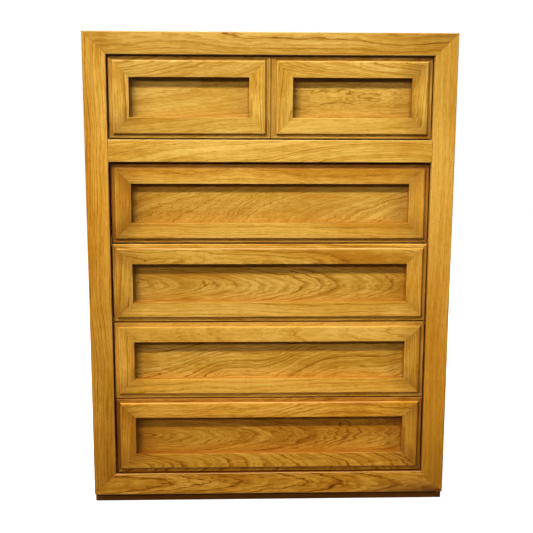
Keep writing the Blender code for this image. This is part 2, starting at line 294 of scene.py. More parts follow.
def ease(tree, value, low, high, low_out=0.0, high_out=1.0):
    """A smooth step from low_out to high_out while the value goes from low to high."""
    node = tree.nodes.new("ShaderNodeMapRange")
    node.interpolation_type = "SMOOTHSTEP"
    for socket, part in zip(node.inputs, (value, low, high, low_out, high_out)):
        feed(tree, socket, part)
    return node.outputs[0]


def blend(tree, factor, first, second, kind="MIX"):
    """Two colours mixed by a factor."""
    node = tree.nodes.new("ShaderNodeMix")
    node.data_type = "RGBA"
    node.blend_type = kind
    feed(tree, node.inputs[0], factor)
    feed(tree, node.inputs[6], first)
    feed(tree, node.inputs[7], second)
    return node.outputs[2]


# How far a seed moves the noise along each axis.
SEED_STEPS = (3.7, 5.3, 1.9)


def cloud(tree, point, stretch, seed, detail=1.0):
    """Noise from 0 to 1 over a point whose axes are stretched, moved on by a seed."""
    away = join_three(tree, *[calc(tree, "MULTIPLY", seed, step) for step in SEED_STEPS])
    node = tree.nodes.new("ShaderNodeTexNoise")
    node.inputs["Scale"].default_value = 1.0
    node.inputs["Detail"].default_value = detail
    feed(tree, node.inputs["Vector"], calc_three(tree, "MULTIPLY_ADD", point, stretch, away))
    return node.outputs[0]


def paint(red, green, blue):
    """A colour written as on a paint chart, 0 to 255, turned into light for the renderer."""
    parts = []
    for value in (red, green, blue):
        value /= 255
        parts.append(value / 12.92 if value <= 0.04045 else ((value + 0.055) / 1.055) ** 2.4)
    return (*parts, 1.0)


print("honey oak in light:", [round(value, 3) for value in paint(219, 163, 66)[:3]])

# %% What the oak is made of
HONEY_PALE = paint(250, 194, 78)
HONEY_DEEP = paint(193, 144, 50)
RING_LINE = paint(107, 80, 30)
PORE = paint(77, 59, 25)
# Pale worn oak, which is also a painted highlight on the rounds that face the lamps.
WORN_AND_HIGHLIGHT = paint(224, 194, 140)
AMBER = (1.0, 0.73, 0.28, 1.0)
# Dark glaze, which is also painted shade in corners, gaps, recesses and under the mouldings.
GLAZE_AND_SHADE = (0.33, 0.215, 0.16, 1.0)

# How much red, green and blue count in brightness, the brightness at which the wood keeps its colour,
# and the power by which red, green and blue change away from it.
LUMINANCE = (0.2126, 0.7152, 0.0722)
EVEN_SHADE = 0.42
REDDENING = (-0.23, 0.135, 1.5)

# The dark line of a spring: how wide it is, the most of a year that it fills, and how strong it is in
# the faintest year. Good and poor years shift the rings by up to so many years.
SPRING_WOOD = 0.0018
SPRING_MOST = 0.42
FAINTEST_YEAR = 0.4
YEARS_SHIFT = 2.6

# How many rows of vessels a year has, and how strongly pores, specks, and wear with its painted
# highlight show at most.
ROWS_IN_YEAR = 3.0
PORE_SHARE = 0.6
SPECK_SHARE = 0.5
WORN_AND_HIGHLIGHT_SHARE = 0.75

# Roughness of smooth oak, and what spring lines, pores and slow clouds add to it.
OAK_ROUGH = 0.38
LINE_ROUGH = 0.10
PORE_ROUGH = 0.20
BROAD_ROUGH = 0.08

# How fast each cloud of noise changes along, across and into a board, its seed, and its detail.
CLOUDS = {
    "wander": ((2.4, 0, 0), 0.3, 1.0),
    "shoulders": ((10, 34, 34), 1.7, 1.0),
    "roll": ((3.1, 0, 0), 2.9, 1.0),
    "ragged": ((24, 100, 40), 4.1, 3.0),
    "patches": ((10, 60, 60), 9.7, 2.0),
    "rows": ((30, 90, 90), 3.3, 1.0),
    "row patches": ((16, 80, 80), 12.1, 2.0),
    "pores": ((80, 560, 560), 5.5, 1.0),
    "fibres": ((24, 240, 240), 6.1, 2.0),
    "broad": ((2.8, 15, 15), 7.3, 3.0),
    "ripple": ((38, 9, 9), 8.9, 1.0),
    "specks": ((190, 210, 210), 11.3, 0.0),
}
# Noise keeps near its middle, so what a log says of its wander, roll and rags is taken three times.
NOISE_GAIN = 3
SHOULDERS = 0.009

# What a board tells the group, and what holds if it doesn't.
LOG_INPUTS = (
    ("Along", 0.0),
    ("Across", 0.0),
    ("Depth", 0.0),
    ("Heart across", 0.0),
    ("Heart depth", 0.06),
    ("Rise", 0.08),
    ("Ring width", 0.004),
    ("Wander", 0.02),
    ("Roll", 0.012),
    ("Ragged", 0.0012),
    ("Figure", 0.8),
    ("Amber", 0.3),
    ("Tone", 1.0),
    ("Finish and light", 0.0),
    ("Seed", 1.0),
)
print("oak is mixed from", len(CLOUDS), "clouds of noise and told by", len(LOG_INPUTS), "numbers")

# %% The oak group
def make_oak_group():
    """Colour, roughness and height of oak at a point of a board, from where its log lay."""
    tree = bpy.data.node_groups.new("flat_sawn_oak", "ShaderNodeTree")
    for name, value in LOG_INPUTS:
        socket = tree.interface.new_socket(name, in_out="INPUT", socket_type="NodeSocketFloat")
        socket.default_value = value
    for name, kind in (("Color", "Color"), ("Roughness", "Float"), ("Height", "Float")):
        tree.interface.new_socket(name, in_out="OUTPUT", socket_type="NodeSocket" + kind)
    given = tree.nodes.new("NodeGroupInput").outputs
    along, across, depth = given["Along"], given["Across"], given["Depth"]
    seed, figure, tone = given["Seed"], given["Figure"], given["Tone"]
    point = join_three(tree, along, across, depth)

    def fog(name):
        stretch, extra, detail = CLOUDS[name]
        return cloud(tree, point, stretch, calc(tree, "ADD", seed, extra), detail)

    def drift(name, amount):
        return calc(tree, "MULTIPLY", calc(tree, "SUBTRACT", fog(name), 0.5), amount)

    def waves(value, scale, detail, extra):
        node = tree.nodes.new("ShaderNodeTexNoise")
        node.noise_dimensions = "1D"
        node.inputs["Scale"].default_value = scale
        node.inputs["Detail"].default_value = detail
        feed(tree, node.inputs["W"], total(value, times(seed, extra)))
        return node.outputs[0]

    def total(*values):
        result = values[0]
        for value in values[1:]:
            result = calc(tree, "ADD", result, value)
        return result

    def times(value, factor):
        return calc(tree, "MULTIPLY", value, factor)

    # Where the point lies from the heart of its log: sideways, and deep into the trunk.
    sideways = total(
        calc(tree, "SUBTRACT", across, given["Heart across"]),
        drift("wander", times(given["Wander"], NOISE_GAIN)),
        drift("shoulders", SHOULDERS),
    )
    deep = total(
        given["Heart depth"],
        times(given["Rise"], along),
        depth,
        drift("roll", times(given["Roll"], NOISE_GAIN)),
        drift("ragged", times(given["Ragged"], NOISE_GAIN)),
    )
    radius = calc(tree, "SQRT", total(times(sideways, sideways), times(deep, deep)))

    # Years of growth. Good and poor years come in runs, so the rings are not evenly spaced.
    years = calc(tree, "DIVIDE", radius, given["Ring width"])
    years = calc(tree, "MULTIPLY_ADD", waves(years, 0.31, 1.0, 9), YEARS_SHIFT, years)
    season = calc(tree, "FRACT", years)
    luck = chance(tree, total(calc(tree, "FLOOR", years), seed))
    strength = ease(tree, luck, 0.0, 1.0, FAINTEST_YEAR, 1.0)
    spring = calc(tree, "DIVIDE", SPRING_WOOD, given["Ring width"])
    spring = calc(tree, "MINIMUM", spring, SPRING_MOST)
    line = times(ease(tree, season, 0, 0.05), ease(tree, season, 0.06, spring, 1, 0))
    patchy = ease(tree, fog("patches"), 0.3, 0.62, 0.45, 1.0)
    line = times(times(line, strength), patchy)

    # Within a year the vessels lie in fainter rows of their own, and some years are darker ones.
    row = calc(tree, "MULTIPLY_ADD", years, ROWS_IN_YEAR, times(fog("rows"), 0.8))
    row = calc(tree, "FRACT", row)
    row = times(ease(tree, row, 0, 0.15), ease(tree, row, 0.2, 0.9, 1, 0))
    row = times(row, ease(tree, fog("row patches"), 0.35, 0.6, 0.1, 0.38))
    decade = waves(years, 0.7, 2.0, 4)

    # Open pores, thickest in the dark spring wood, and the fibres and slow clouds of colour.
    pore = ease(tree, fog("pores"), 0.54, 0.70)
    pore = times(pore, calc(tree, "MULTIPLY_ADD", line, 0.7, 0.3))
    fibre = fog("fibres")
    broad = fog("broad")
    speck = ease(tree, fog("specks"), 0.81, 0.85)
    ground = total(
        calc(tree, "MULTIPLY_ADD", fibre, 0.9, -0.45),
        calc(tree, "MULTIPLY_ADD", broad, 1.5, -0.75),
        calc(tree, "MULTIPLY_ADD", decade, 0.8, -0.4),
        calc(tree, "MULTIPLY_ADD", fog("ripple"), 0.25, -0.12),
    )
    lively = calc(tree, "MULTIPLY_ADD", figure, 0.6, 0.4)
    ground = ease(tree, calc(tree, "MULTIPLY_ADD", ground, lively, 0.45), 0.0, 1.0)
    colour = blend(tree, ground, HONEY_PALE, HONEY_DEEP)
    colour = blend(tree, times(row, figure), colour, RING_LINE)
    colour = blend(tree, times(line, figure), colour, RING_LINE)
    colour = blend(tree, times(pore, PORE_SHARE), colour, PORE)
    colour = blend(tree, times(speck, SPECK_SHARE), colour, PORE)

    # The darker the wood, the redder. Then the board's own amber, and its tone, which is partly its own
    # colour and partly painted light: boards lower down are mostly lighter, against lamps that fall off.
    shade = calc(tree, "DIVIDE", calc_three(tree, "DOT_PRODUCT", colour, LUMINANCE), EVEN_SHADE)
    tint = join_three(tree, *[calc(tree, "POWER", shade, power) for power in REDDENING])
    colour = calc_three(tree, "MULTIPLY", colour, tint)
    warmer = blend(tree, 1.0, colour, AMBER, "MULTIPLY")
    colour = blend(tree, given["Amber"], colour, warmer)
    colour = calc_three(tree, "MULTIPLY", colour, join_three(tree, tone, tone, tone))

    # The finish and painted light: above 0 the wood darkens towards the glaze, which is dark glaze and
    # also painted shade; below 0 it pales towards worn wood, which is wear and also a painted highlight.
    darkened = blend(tree, 1.0, colour, GLAZE_AND_SHADE, "MULTIPLY")
    colour = blend(tree, ease(tree, given["Finish and light"], 0, 1), colour, darkened)
    colour = blend(tree, ease(tree, given["Finish and light"], 0, -1, 0, WORN_AND_HIGHLIGHT_SHARE), colour, WORN_AND_HIGHLIGHT)

    # Spring wood and pores are rougher than the rest, and they lie a little deeper.
    rough = calc(tree, "MULTIPLY_ADD", line, LINE_ROUGH, OAK_ROUGH)
    rough = calc(tree, "MULTIPLY_ADD", pore, PORE_ROUGH, rough)
    rough = calc(tree, "MULTIPLY_ADD", broad, BROAD_ROUGH, rough)
    height = calc(tree, "MULTIPLY_ADD", pore, -0.7, times(line, -0.3))
    height = calc(tree, "MULTIPLY_ADD", fibre, 0.25, height)
    made = tree.nodes.new("NodeGroupOutput")
    for socket, value in zip(made.inputs, (colour, rough, height)):
        feed(tree, socket, value)
    return tree


oak_group = make_oak_group()
print("oak group:", len(oak_group.nodes), "nodes")

# %% What every wood needs
# The axes that run along, across and into a board, for each way that a board can lie.
AXES = {"x": "XZY", "z": "ZXY", "side": "ZYX", "top": "XYZ", "box": "YZX", "bearer": "YXZ"}


def object_axes(tree, centre):
    """A point of the piece, measured from its middle, as separate X, Y and Z."""
    place = tree.nodes.new("ShaderNodeTexCoord").outputs["Object"]
    split = tree.nodes.new("ShaderNodeSeparateXYZ")
    feed(tree, split.inputs[0], calc_three(tree, "SUBTRACT", place, centre))
    return split.outputs


def polish(tree, colour, rough, height, relief, sheen):
    """Hands a wood's colour, roughness and fine relief to its shader, and says how much it shines."""
    shader = tree.nodes["Principled BSDF"]
    bump = tree.nodes.new("ShaderNodeBump")
    for label, value in zip(("Strength", "Distance", "Height"), (*relief, height)):
        feed(tree, bump.inputs[label], value)
    feed(tree, shader.inputs["Base Color"], colour)
    feed(tree, shader.inputs["Roughness"], rough)
    feed(tree, shader.inputs["Normal"], bump.outputs[0])
    shader.inputs["Specular IOR Level"].default_value = sheen


print("a board can lie in", len(AXES), "ways:", ", ".join(AXES))

# %% A board's own oak
# What a log is told in, in this order.
LOG = (
    "Heart across",
    "Heart depth",
    "Rise",
    "Ring width",
    "Wander",
    "Roll",
    "Ragged",
    "Figure",
    "Amber",
    "Tone",
    "Seed",
)

# How a stave differs from the one beside it: in its seed, its heart and its amber.
STAVE_SEED = 2.37
STAVE_HEART = 0.12
STAVE_AMBER = 0.25

# A board that turns amber towards its foot and is painted with shade at its foot and its head, with
# heights from its middle: where its extra amber has faded out, between which heights the painted
# shade at its foot comes in, and over what length the painted shade at its head does.
AMBER_TOP = 0.5
FOOT_SHADE_SPAN = (-0.62, -0.27)
HEAD_SHADE_SPAN = 0.3

# Painted shade on a sunk panel, where its frame shades it: how far it reaches in from the edges and
# from the ends, and how dark it is at the upper edges and at the foot.
EDGE_REACH = 0.016
END_REACH = 0.10
EDGE_SHADE = 0.6
FOOT_SHADE = 0.27

# Strength and depth of the fine relief, and how much the finish shines.
OAK_RELIEF = (0.35, 0.0004)
SATIN = 0.12


def oak(name, grain, centre, log, right_log=None, staves=0, amber_and_shade=None, recess=None):
    """The oak of one board: which way its grain runs, where its middle is, and where its log lay.
    A board may change to another log right of its middle, be glued up from staves of a width, turn
    amber towards its foot and take painted shade at foot and head, or take painted shade along the
    edges of a recess it fills."""
    material = bpy.data.materials.new(name)
    material.use_nodes = True
    tree = material.node_tree
    axes = object_axes(tree, centre)
    wood = tree.nodes.new("ShaderNodeGroup")
    wood.node_tree = oak_group
    values = dict(zip(LOG, log))
    if right_log:
        right = calc(tree, "GREATER_THAN", axes["X"], 0)
        for key, other in zip(LOG, right_log):
            values[key] = calc(tree, "MULTIPLY_ADD", right, other - values[key], values[key])
    along, across, depth = [axes[axis] for axis in AXES[grain]]
    if staves:
        count = calc(tree, "FLOOR", calc(tree, "MULTIPLY_ADD", across, 1 / staves, 0.5))
        across = calc(tree, "MULTIPLY_ADD", count, -staves, across)
        luck = chance(tree, calc(tree, "ADD", count, 0.5))
        values["Seed"] = calc(tree, "MULTIPLY_ADD", count, STAVE_SEED, values["Seed"])
        values["Heart across"] = calc(tree, "MULTIPLY_ADD", luck, STAVE_HEART, values["Heart across"])
        values["Amber"] = calc(tree, "MULTIPLY_ADD", luck, STAVE_AMBER, values["Amber"])
    if amber_and_shade:
        more_amber, amber_from, foot_shade, head_shade, shade_from = amber_and_shade
        amber, tone, height = values["Amber"], values["Tone"], axes["Z"]
        values["Amber"] = ease(tree, height, amber_from, AMBER_TOP, amber + more_amber, amber)
        foot = ease(tree, height, *FOOT_SHADE_SPAN, tone * foot_shade, tone)
        head = ease(tree, height, shade_from, shade_from + HEAD_SHADE_SPAN, 1.0, head_shade)
        values["Tone"] = calc(tree, "MULTIPLY", foot, head)
    for key, value in (("Along", along), ("Across", across), ("Depth", depth), *values.items()):
        feed(tree, wood.inputs[key], value)
    # A sunk panel is painted with shade along its upper edge, its ends and its foot.
    if recess:
        aside, half_width, middle_z, half_height, shade_at_ends = recess
        from_middle = calc(tree, "SUBTRACT", calc(tree, "ABSOLUTE", axes["X"]), aside)
        from_end = calc(tree, "SUBTRACT", half_width, calc(tree, "ABSOLUTE", from_middle))
        from_top = calc(tree, "SUBTRACT", middle_z + half_height, axes["Z"])
        from_foot = calc(tree, "SUBTRACT", axes["Z"], middle_z - half_height)
        nearest = calc(tree, "MINIMUM", from_end, from_top)
        at_edge = ease(tree, nearest, 0.0, EDGE_REACH, EDGE_SHADE, 0.0)
        at_foot = ease(tree, from_foot, 0.0, EDGE_REACH, FOOT_SHADE, 0.0)
        at_end = ease(tree, from_end, 0.0, END_REACH, shade_at_ends, 0.0)
        dark = calc(tree, "MAXIMUM", at_edge, calc(tree, "MAXIMUM", at_foot, at_end))
        feed(tree, wood.inputs["Finish and light"], dark)
    else:
        finish_and_light = tree.nodes.new("ShaderNodeAttribute")
        finish_and_light.attribute_name = "finish_and_light"
        feed(tree, wood.inputs["Finish and light"], finish_and_light.outputs["Fac"])
    polish(tree, *wood.outputs, OAK_RELIEF, SATIN)
    return material


print("a log is told in", len(LOG), "numbers")

# %% [markdown]
# ## Face frame
#
# Two stiles and a top and bottom rail meet in mitres, and a cross rail sits between the stiles
# under the top drawer. The model has these boards as plain prisms. Here each is swept again with a
# finer round on its long edges, because those rounds catch the lamps as a thin bright line.

# %% A board swept along its grain
# How far painted shade reaches in from an end, a width too small to see, how many lengths a swept
# board has, and the turn in degrees past which an edge stays sharp.
END_SHADE_REACH = 0.085
HAIR = 0.0001
RINGS = 24
SHARP = 35


def rounded(corners, steps=4, wear_and_light=0.0, lean=1):
    """Points of a section. Each corner is (across, back, radius, darkness, darkness after the round),
    where above 0 is glaze and painted shade, and below 0 is rubbing and a painted highlight. The darkness
    changes close to the darker end of a round. A round is rubbed paler, a painted highlight, most at
    its middle, or nearer to its end where it leans."""
    points = []
    for index, (across, back, radius, finish_and_light, finish_and_light_after) in enumerate(corners):
        corner = Vector((across, back))
        if not radius:
            points.append((across, back, finish_and_light))
            continue
        before = (Vector(corners[index - 1][:2]) - corner).normalized()
        after = (Vector(corners[(index + 1) % len(corners)][:2]) - corner).normalized()
        middle = corner + radius * (before + after)
        for step in range(steps + 1):
            part = step / steps
            angle = math.pi / 2 * part
            point = middle - radius * (after * math.cos(angle) + before * math.sin(angle))
            turn = part**4 if finish_and_light_after > finish_and_light else 1 - (1 - part) ** 4
            worn_and_lit = wear_and_light * math.sin(math.pi * part**lean)
            points.append((point.x, point.y, finish_and_light + (finish_and_light_after - finish_and_light) * turn - worn_and_lit))
    return points


def sweep(
    shape, section, run, to_space, material_index, end_shade=(0, 0), reach=END_SHADE_REACH, inner=1, wall=1
):
    """Adds one closed board: its section carried along its grain between two sawn ends, with rings
    set closer towards the ends, where painted shade may darken it. The inner edge takes its share of
    that, and the painted shade on the wall below that edge may thin out along the board."""
    layer = shape.verts.layers.float.get("finish_and_light") or shape.verts.layers.float.new("finish_and_light")
    far = max(across for across, back, finish_and_light in section)
    rings = []
    for step in range(RINGS + 1):
        ring = []
        part = 0.5 - 0.5 * math.cos(math.pi * step / RINGS)
        for across, back, finish_and_light in section:
            start, end = run(across)
            if across > far - HAIR:
                finish_and_light *= 1 + (wall - 1) * part
            for amount, gone in zip(end_shade, (part, 1 - part)):
                near = max(0.0, 1 - gone * (end - start) / reach)
                share = 1 + (inner - 1) * across / far
                finish_and_light += (1 - finish_and_light) * amount * share * near * near * (3 - 2 * near)
            vertex = shape.verts.new(to_space(across, back, start + (end - start) * part))
            vertex[layer] = finish_and_light
            ring.append(vertex)
        rings.append(ring)
    count = len(section)
    made = [shape.faces.new(rings[0]), shape.faces.new(list(reversed(rings[-1])))]
    for ring, after in zip(rings, rings[1:]):
        for index in range(count):
            other = (index + 1) % count
            made.append(shape.faces.new((ring[index], after[index], after[other], ring[other])))
    for face in made:
        face.material_index = material_index
        face.smooth = True


def finish_piece(name, shape, materials, body, replaced=()):
    """Turns a shape into an object with clean outward faces, and hands it to the body that carries it."""
    bmesh.ops.recalc_face_normals(shape, faces=shape.faces)
    mesh = bpy.data.meshes.new(name)
    shape.to_mesh(mesh)
    shape.free()
    mesh.set_sharp_from_angle(angle=math.radians(SHARP))
    for material in materials:
        mesh.materials.append(material)
    piece = bpy.data.objects.new(name, mesh)
    bpy.context.scene.collection.objects.link(piece)
    even = piece.modifiers.new("flat_faces", "WEIGHTED_NORMAL")
    even.keep_sharp = True
    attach(piece, body)
    if replaced:
        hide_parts(*replaced)
    return piece


print("a swept board has", RINGS, "lengths, shorter towards its ends")

# %% Face frame boards
# The round on the long edges, how much a mitred end is cut short, the wear on the rounds with its
# painted highlight (painted shade below 0), and painted shade on the walls that face a drawer.
FACE_EASE = 0.0026
MITRE_GAP = 0.00022
RAIL_WEAR_AND_HIGHLIGHT = 0.7
STILE_EDGE_SHADE = -0.35
GAP_SHADE = 0.9
front_y = cad_low[1]

left_low, left_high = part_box("face_left_stile")
top_low, top_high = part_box("face_top_rail")
foot_low, foot_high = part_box("face_bottom_rail")
cross_low, cross_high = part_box("face_cross_rail")
stile = left_high.x - left_low.x
top_rail = top_high.z - top_low.z
foot_rail = foot_high.z - foot_low.z
cross_rail = cross_high.z - cross_low.z
face_back = left_high.y - left_low.y
half_chest = cad_high[0]
face_foot = foot_low.z
face_head = cad_high[2]


def face_section(width, outer_shade, wear_and_light):
    """A flat board with both front edges eased, and painted shade down the sides that face a drawer."""
    return rounded(
        (
            (0, face_back, 0, outer_shade, 0),
            (0, 0, FACE_EASE, outer_shade, 0),
            (width, 0, FACE_EASE, 0, GAP_SHADE),
            (width, face_back, 0, GAP_SHADE, 0),
        ),
        wear_and_light=wear_and_light,
    )


#   across depth  rise   ring    wander roll   ragged  figure amber tone  seed
FACE_LOGS = {
    "face_left_stile": (0.095, 0.098, -0.001, 0.0069, 0.011, 0.006, 0.0010, 0.8, 0.20, 0.99, 74.42),
    "face_right_stile": (-0.118, 0.046, -0.010, 0.0063, 0.010, 0.005, 0.0007, 0.3, 0.18, 1.06, 13.5),
    "face_top_rail": (0.044, 0.101, -0.018, 0.0071, 0.026, 0.008, 0.0013, 0.9, 0.07, 0.77, 57.21),
    "face_bottom_rail": (0.001, 0.071, 0.054, 0.0084, 0.010, 0.004, 0.0017, 1.5, 0.72, 1.10, 81.67),
    "face_cross_rail": (-0.066, 0.064, -0.116, 0.0070, 0.020, 0.013, 0.0020, 0.75, -0.10, 1.05, 41.65),
}
#     amber gained towards the foot, from this height; painted shade at the foot, as a tone; painted
#     shade at the head, as a tone, from this height
FACE_AMBER_AND_SHADE = {
    "face_left_stile": (0.55, 0.20, 0.91, 0.88, 0.34),
    "face_right_stile": (0.80, -0.60, 0.71, 0.82, 0.22),
}
#     painted shade at the left or lower end and at the other one, how far it reaches, the inner edge's
#     share of it; and how much of the painted shade on the wall that faces a drawer is left at the other
#     end
FACE_END_SHADE = {
    "face_top_rail": ((0.0, 0.45), 0.25, 0.0),
    "face_bottom_rail": ((0.05, 1.0), 0.36, 0.0),
    "face_right_stile": ((0.0, 0.25), END_SHADE_REACH, 1.0, 0.0),
}


def face_board(name, width, run, to_space, grain, outer_shade=0.0, wear_and_light=0.0):
    """One board of the face frame, in place of the model's plain prism."""
    low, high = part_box(name)
    shape = bmesh.new()
    ends = FACE_END_SHADE.get(name, ())
    sweep(shape, face_section(width, outer_shade, wear_and_light), run, to_space, 0, *ends)
    finish_and_light = oak(name + "_oak", grain, (low + high) / 2, FACE_LOGS[name], amber_and_shade=FACE_AMBER_AND_SHADE.get(name))
    return finish_piece(name + "_finished", shape, [finish_and_light], "case", [name])


for name, sign in (("face_left_stile", -1), ("face_right_stile", 1)):
    face_board(
        name,
        stile,
        lambda s: (
            face_foot + s * foot_rail / stile + MITRE_GAP,
            face_head - s * top_rail / stile - MITRE_GAP,
        ),
        lambda s, back, a: (sign * (half_chest - s), front_y + back, a),
        "z",
        wear_and_light=STILE_EDGE_SHADE,
    )
for name, width, outer, inward in (
    ("face_top_rail", top_rail, face_head, -1),
    ("face_bottom_rail", foot_rail, face_foot, 1),
):
    face_board(
        name,
        width,
        lambda s: (
            -half_chest + s * stile / width + MITRE_GAP,
            half_chest - s * stile / width - MITRE_GAP,
        ),
        lambda s, back, a: (a, front_y + back, outer + inward * s),
        "x",
        wear_and_light=RAIL_WEAR_AND_HIGHLIGHT,
    )
face_board(
    "face_cross_rail",
    cross_rail,
    lambda s: (cross_low.x, cross_high.x),
    lambda s, back, a: (a, front_y + back, cross_low.z + s),
    "x",
    outer_shade=GAP_SHADE,
    wear_and_light=RAIL_WEAR_AND_HIGHLIGHT,
)
print("face frame: stiles", round(stile * 1000, 1), "mm wide, mitred and eased")

# %% [markdown]
# ## Drawer fronts
#
# Each drawer front carries a frame of four pieces, cut at 45 degrees and glued round a sunk panel.
# The section has a thin lip, a small sharp corner, a thumb-rounded step and a flat face, and the
# inner edge over the panel is what the fingers pull on. Four separate pieces are swept here, since
# the grain has to turn at every mitre. The top drawer has two such frames side by side.
#
# Where a rail hangs over a front, on the top drawer and the one below it, the upper lip lies deeper,
# and the second drawer's front sits 3 mm further back: the shadow there is wider in the picture.
#
# The oak is darker in the sharp corners, in the gaps, on the lips and on the walls of the recess, which
# is partly a dark glaze and partly painted shade, and paler on the high rounds, which is partly wear
# and partly a painted highlight. Every point of the section carries that as one number, which the
# oak reads.

# %% Section of a drawer front
# Widths, depths and rounds of the section, from its outer edge to the recess. A lip between two frames
# is wider, and a narrow strip in the corner behind a lip is painted shade.
LIP = 0.0105
PAIR_LIP = 0.0134
LIP_DROP = 0.0060
DEEP_LIP_DROP = 0.0085
LIP_EASE = 0.0030
BOTTOM_LIP_EASE = 0.0022
CORNER_SHADE_WIDTH = 0.0012
THUMB_RADIUS = 0.0050
THUMB_STEPS = 10
RAISED = 0.0430
RECESS_EASE = 0.0012

# Its finish and painted light: 1 is full glaze and painted shade, 0 is clean oak, and wear with a
# painted highlight is taken off that.
SHADED_LIP = 0.85
STEP_SHADE = 0.35
BOTTOM_STEP_SHADE = 1.0
BOTTOM_HIGHLIGHT = 0.25
BOTTOM_LEAN = 2
RECESS_HIGHLIGHT = 0.3
WALL_SHADE = 0.55


def frame_section(stock, lip_drop, lip_ease, lip_glaze_and_shade, lip_wear_and_light, step_shade, thumb_wear_and_light, lean=1):
    """Section of a drawer front: across from its outer edge, back from its raised face."""
    inner = LIP + RAISED
    # The outer wall, in the gap, and the strip in the corner behind the lip are in full painted shade.
    lip = rounded(
        (
            (0, stock, 0, 1.0, 0),
            (0, lip_drop, lip_ease, 1.0, lip_glaze_and_shade),
            (LIP - CORNER_SHADE_WIDTH, lip_drop, 0, lip_glaze_and_shade, 0),
            (LIP, lip_drop, 0, 1.0, 0),
        ),
        wear_and_light=lip_wear_and_light,
    )
    # The thumb's round starts in painted shade, and its wear is a painted highlight.
    thumb = rounded(
        ((LIP, lip_drop, 0, 1.0, 0), (LIP, 0, THUMB_RADIUS, step_shade, 0.0), (inner, 0, 0, 0, 0)),
        steps=THUMB_STEPS,
        wear_and_light=thumb_wear_and_light,
        lean=lean,
    )
    # The wall of the recess is painted shade, and the wear on its upper edge a painted highlight.
    recess = rounded(
        ((LIP, 0, 0, 0, 0), (inner, 0, RECESS_EASE, 0, WALL_SHADE), (inner, stock, 0, WALL_SHADE, 0)),
        wear_and_light=RECESS_HIGHLIGHT,
    )
    return lip + thumb[1:-1] + recess[1:]


print("drawer front: lip", round(LIP * 1000, 1), "mm, raised face", round(RAISED * 1000, 1), "mm wide")

# %% Four mitred pieces round a panel
FRAME_MITRE_GAP = 0.00018
FRAME_PIECES = ("top", "bottom", "left", "right")
DEEP_LIPS = ("drawer_1_frame_left", "drawer_1_frame_right", "drawer_2_frame")
SET_BACK = {"drawer_2_frame": 0.0030}


def drawer_frame(
    node, body, left_lip, right_lip, logs, top_finish_and_light, bottom_lip_glaze_and_shade, side_lip_glaze_and_shade, corners, shaded_lips
):
    """The four mitred pieces of one frame, as one piece of the scene."""
    top_left, top_right, bottom_left, bottom_right = corners
    end_shade = {
        "top": (top_left, top_right),
        "bottom": (bottom_left, bottom_right),
        "left": (bottom_left, top_left),
        "right": (bottom_right, top_right),
    }
    low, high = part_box(node)
    front = low.y + SET_BACK.get(node, 0.0)
    shape = bmesh.new()
    finishes = []
    gap = FRAME_MITRE_GAP

    def shift(s, lip):
        return lip - LIP if s > LIP - CORNER_SHADE_WIDTH - HAIR else 0.0

    def left_at(s):
        return low.x + s + shift(s, left_lip)

    def right_at(s):
        return high.x - s - shift(s, right_lip)

    def sideways(s):
        return left_at(s) + gap, right_at(s) - gap

    def upwards(s):
        return low.z + s + gap, high.z - s - gap

    ways = {
        "top": (sideways, lambda s, back, a: (a, front + back, high.z - s), "x"),
        "bottom": (sideways, lambda s, back, a: (a, front + back, low.z + s), "x"),
        "left": (upwards, lambda s, back, a: (left_at(s), front + back, a), "z"),
        "right": (upwards, lambda s, back, a: (right_at(s), front + back, a), "z"),
    }
    width = LIP + RAISED
    middle = (low + high) / 2
    centres = {
        "top": (middle.x, front, high.z - width / 2),
        "bottom": (middle.x, front, low.z + width / 2),
        "left": (low.x + width / 2, front, middle.z),
        "right": (high.x - width / 2, front, middle.z),
    }
    for index, side in enumerate(FRAME_PIECES):
        run, to_space, grain = ways[side]
        stock = high.y - front
        side_lip_darkness = SHADED_LIP if side in shaded_lips else side_lip_glaze_and_shade
        if side == "top":
            drop = DEEP_LIP_DROP if node in DEEP_LIPS else LIP_DROP
            section = frame_section(stock, drop, LIP_EASE, *top_finish_and_light)
        elif side == "bottom":
            finish_and_light = (bottom_lip_glaze_and_shade, 0.0, BOTTOM_STEP_SHADE, BOTTOM_HIGHLIGHT)
            section = frame_section(stock, LIP_DROP, BOTTOM_LIP_EASE, *finish_and_light, lean=BOTTOM_LEAN)
        else:
            section = frame_section(stock, LIP_DROP, LIP_EASE, side_lip_darkness, 0.0, STEP_SHADE, 0.0)
        sweep(shape, section, run, to_space, index, end_shade[side])
        finishes.append(oak(f"{node}_{side}_oak", grain, centres[side], logs[side]))
    return finish_piece(node + "_mitred", shape, finishes, body, [node])


print("pieces of a frame:", ", ".join(FRAME_PIECES))

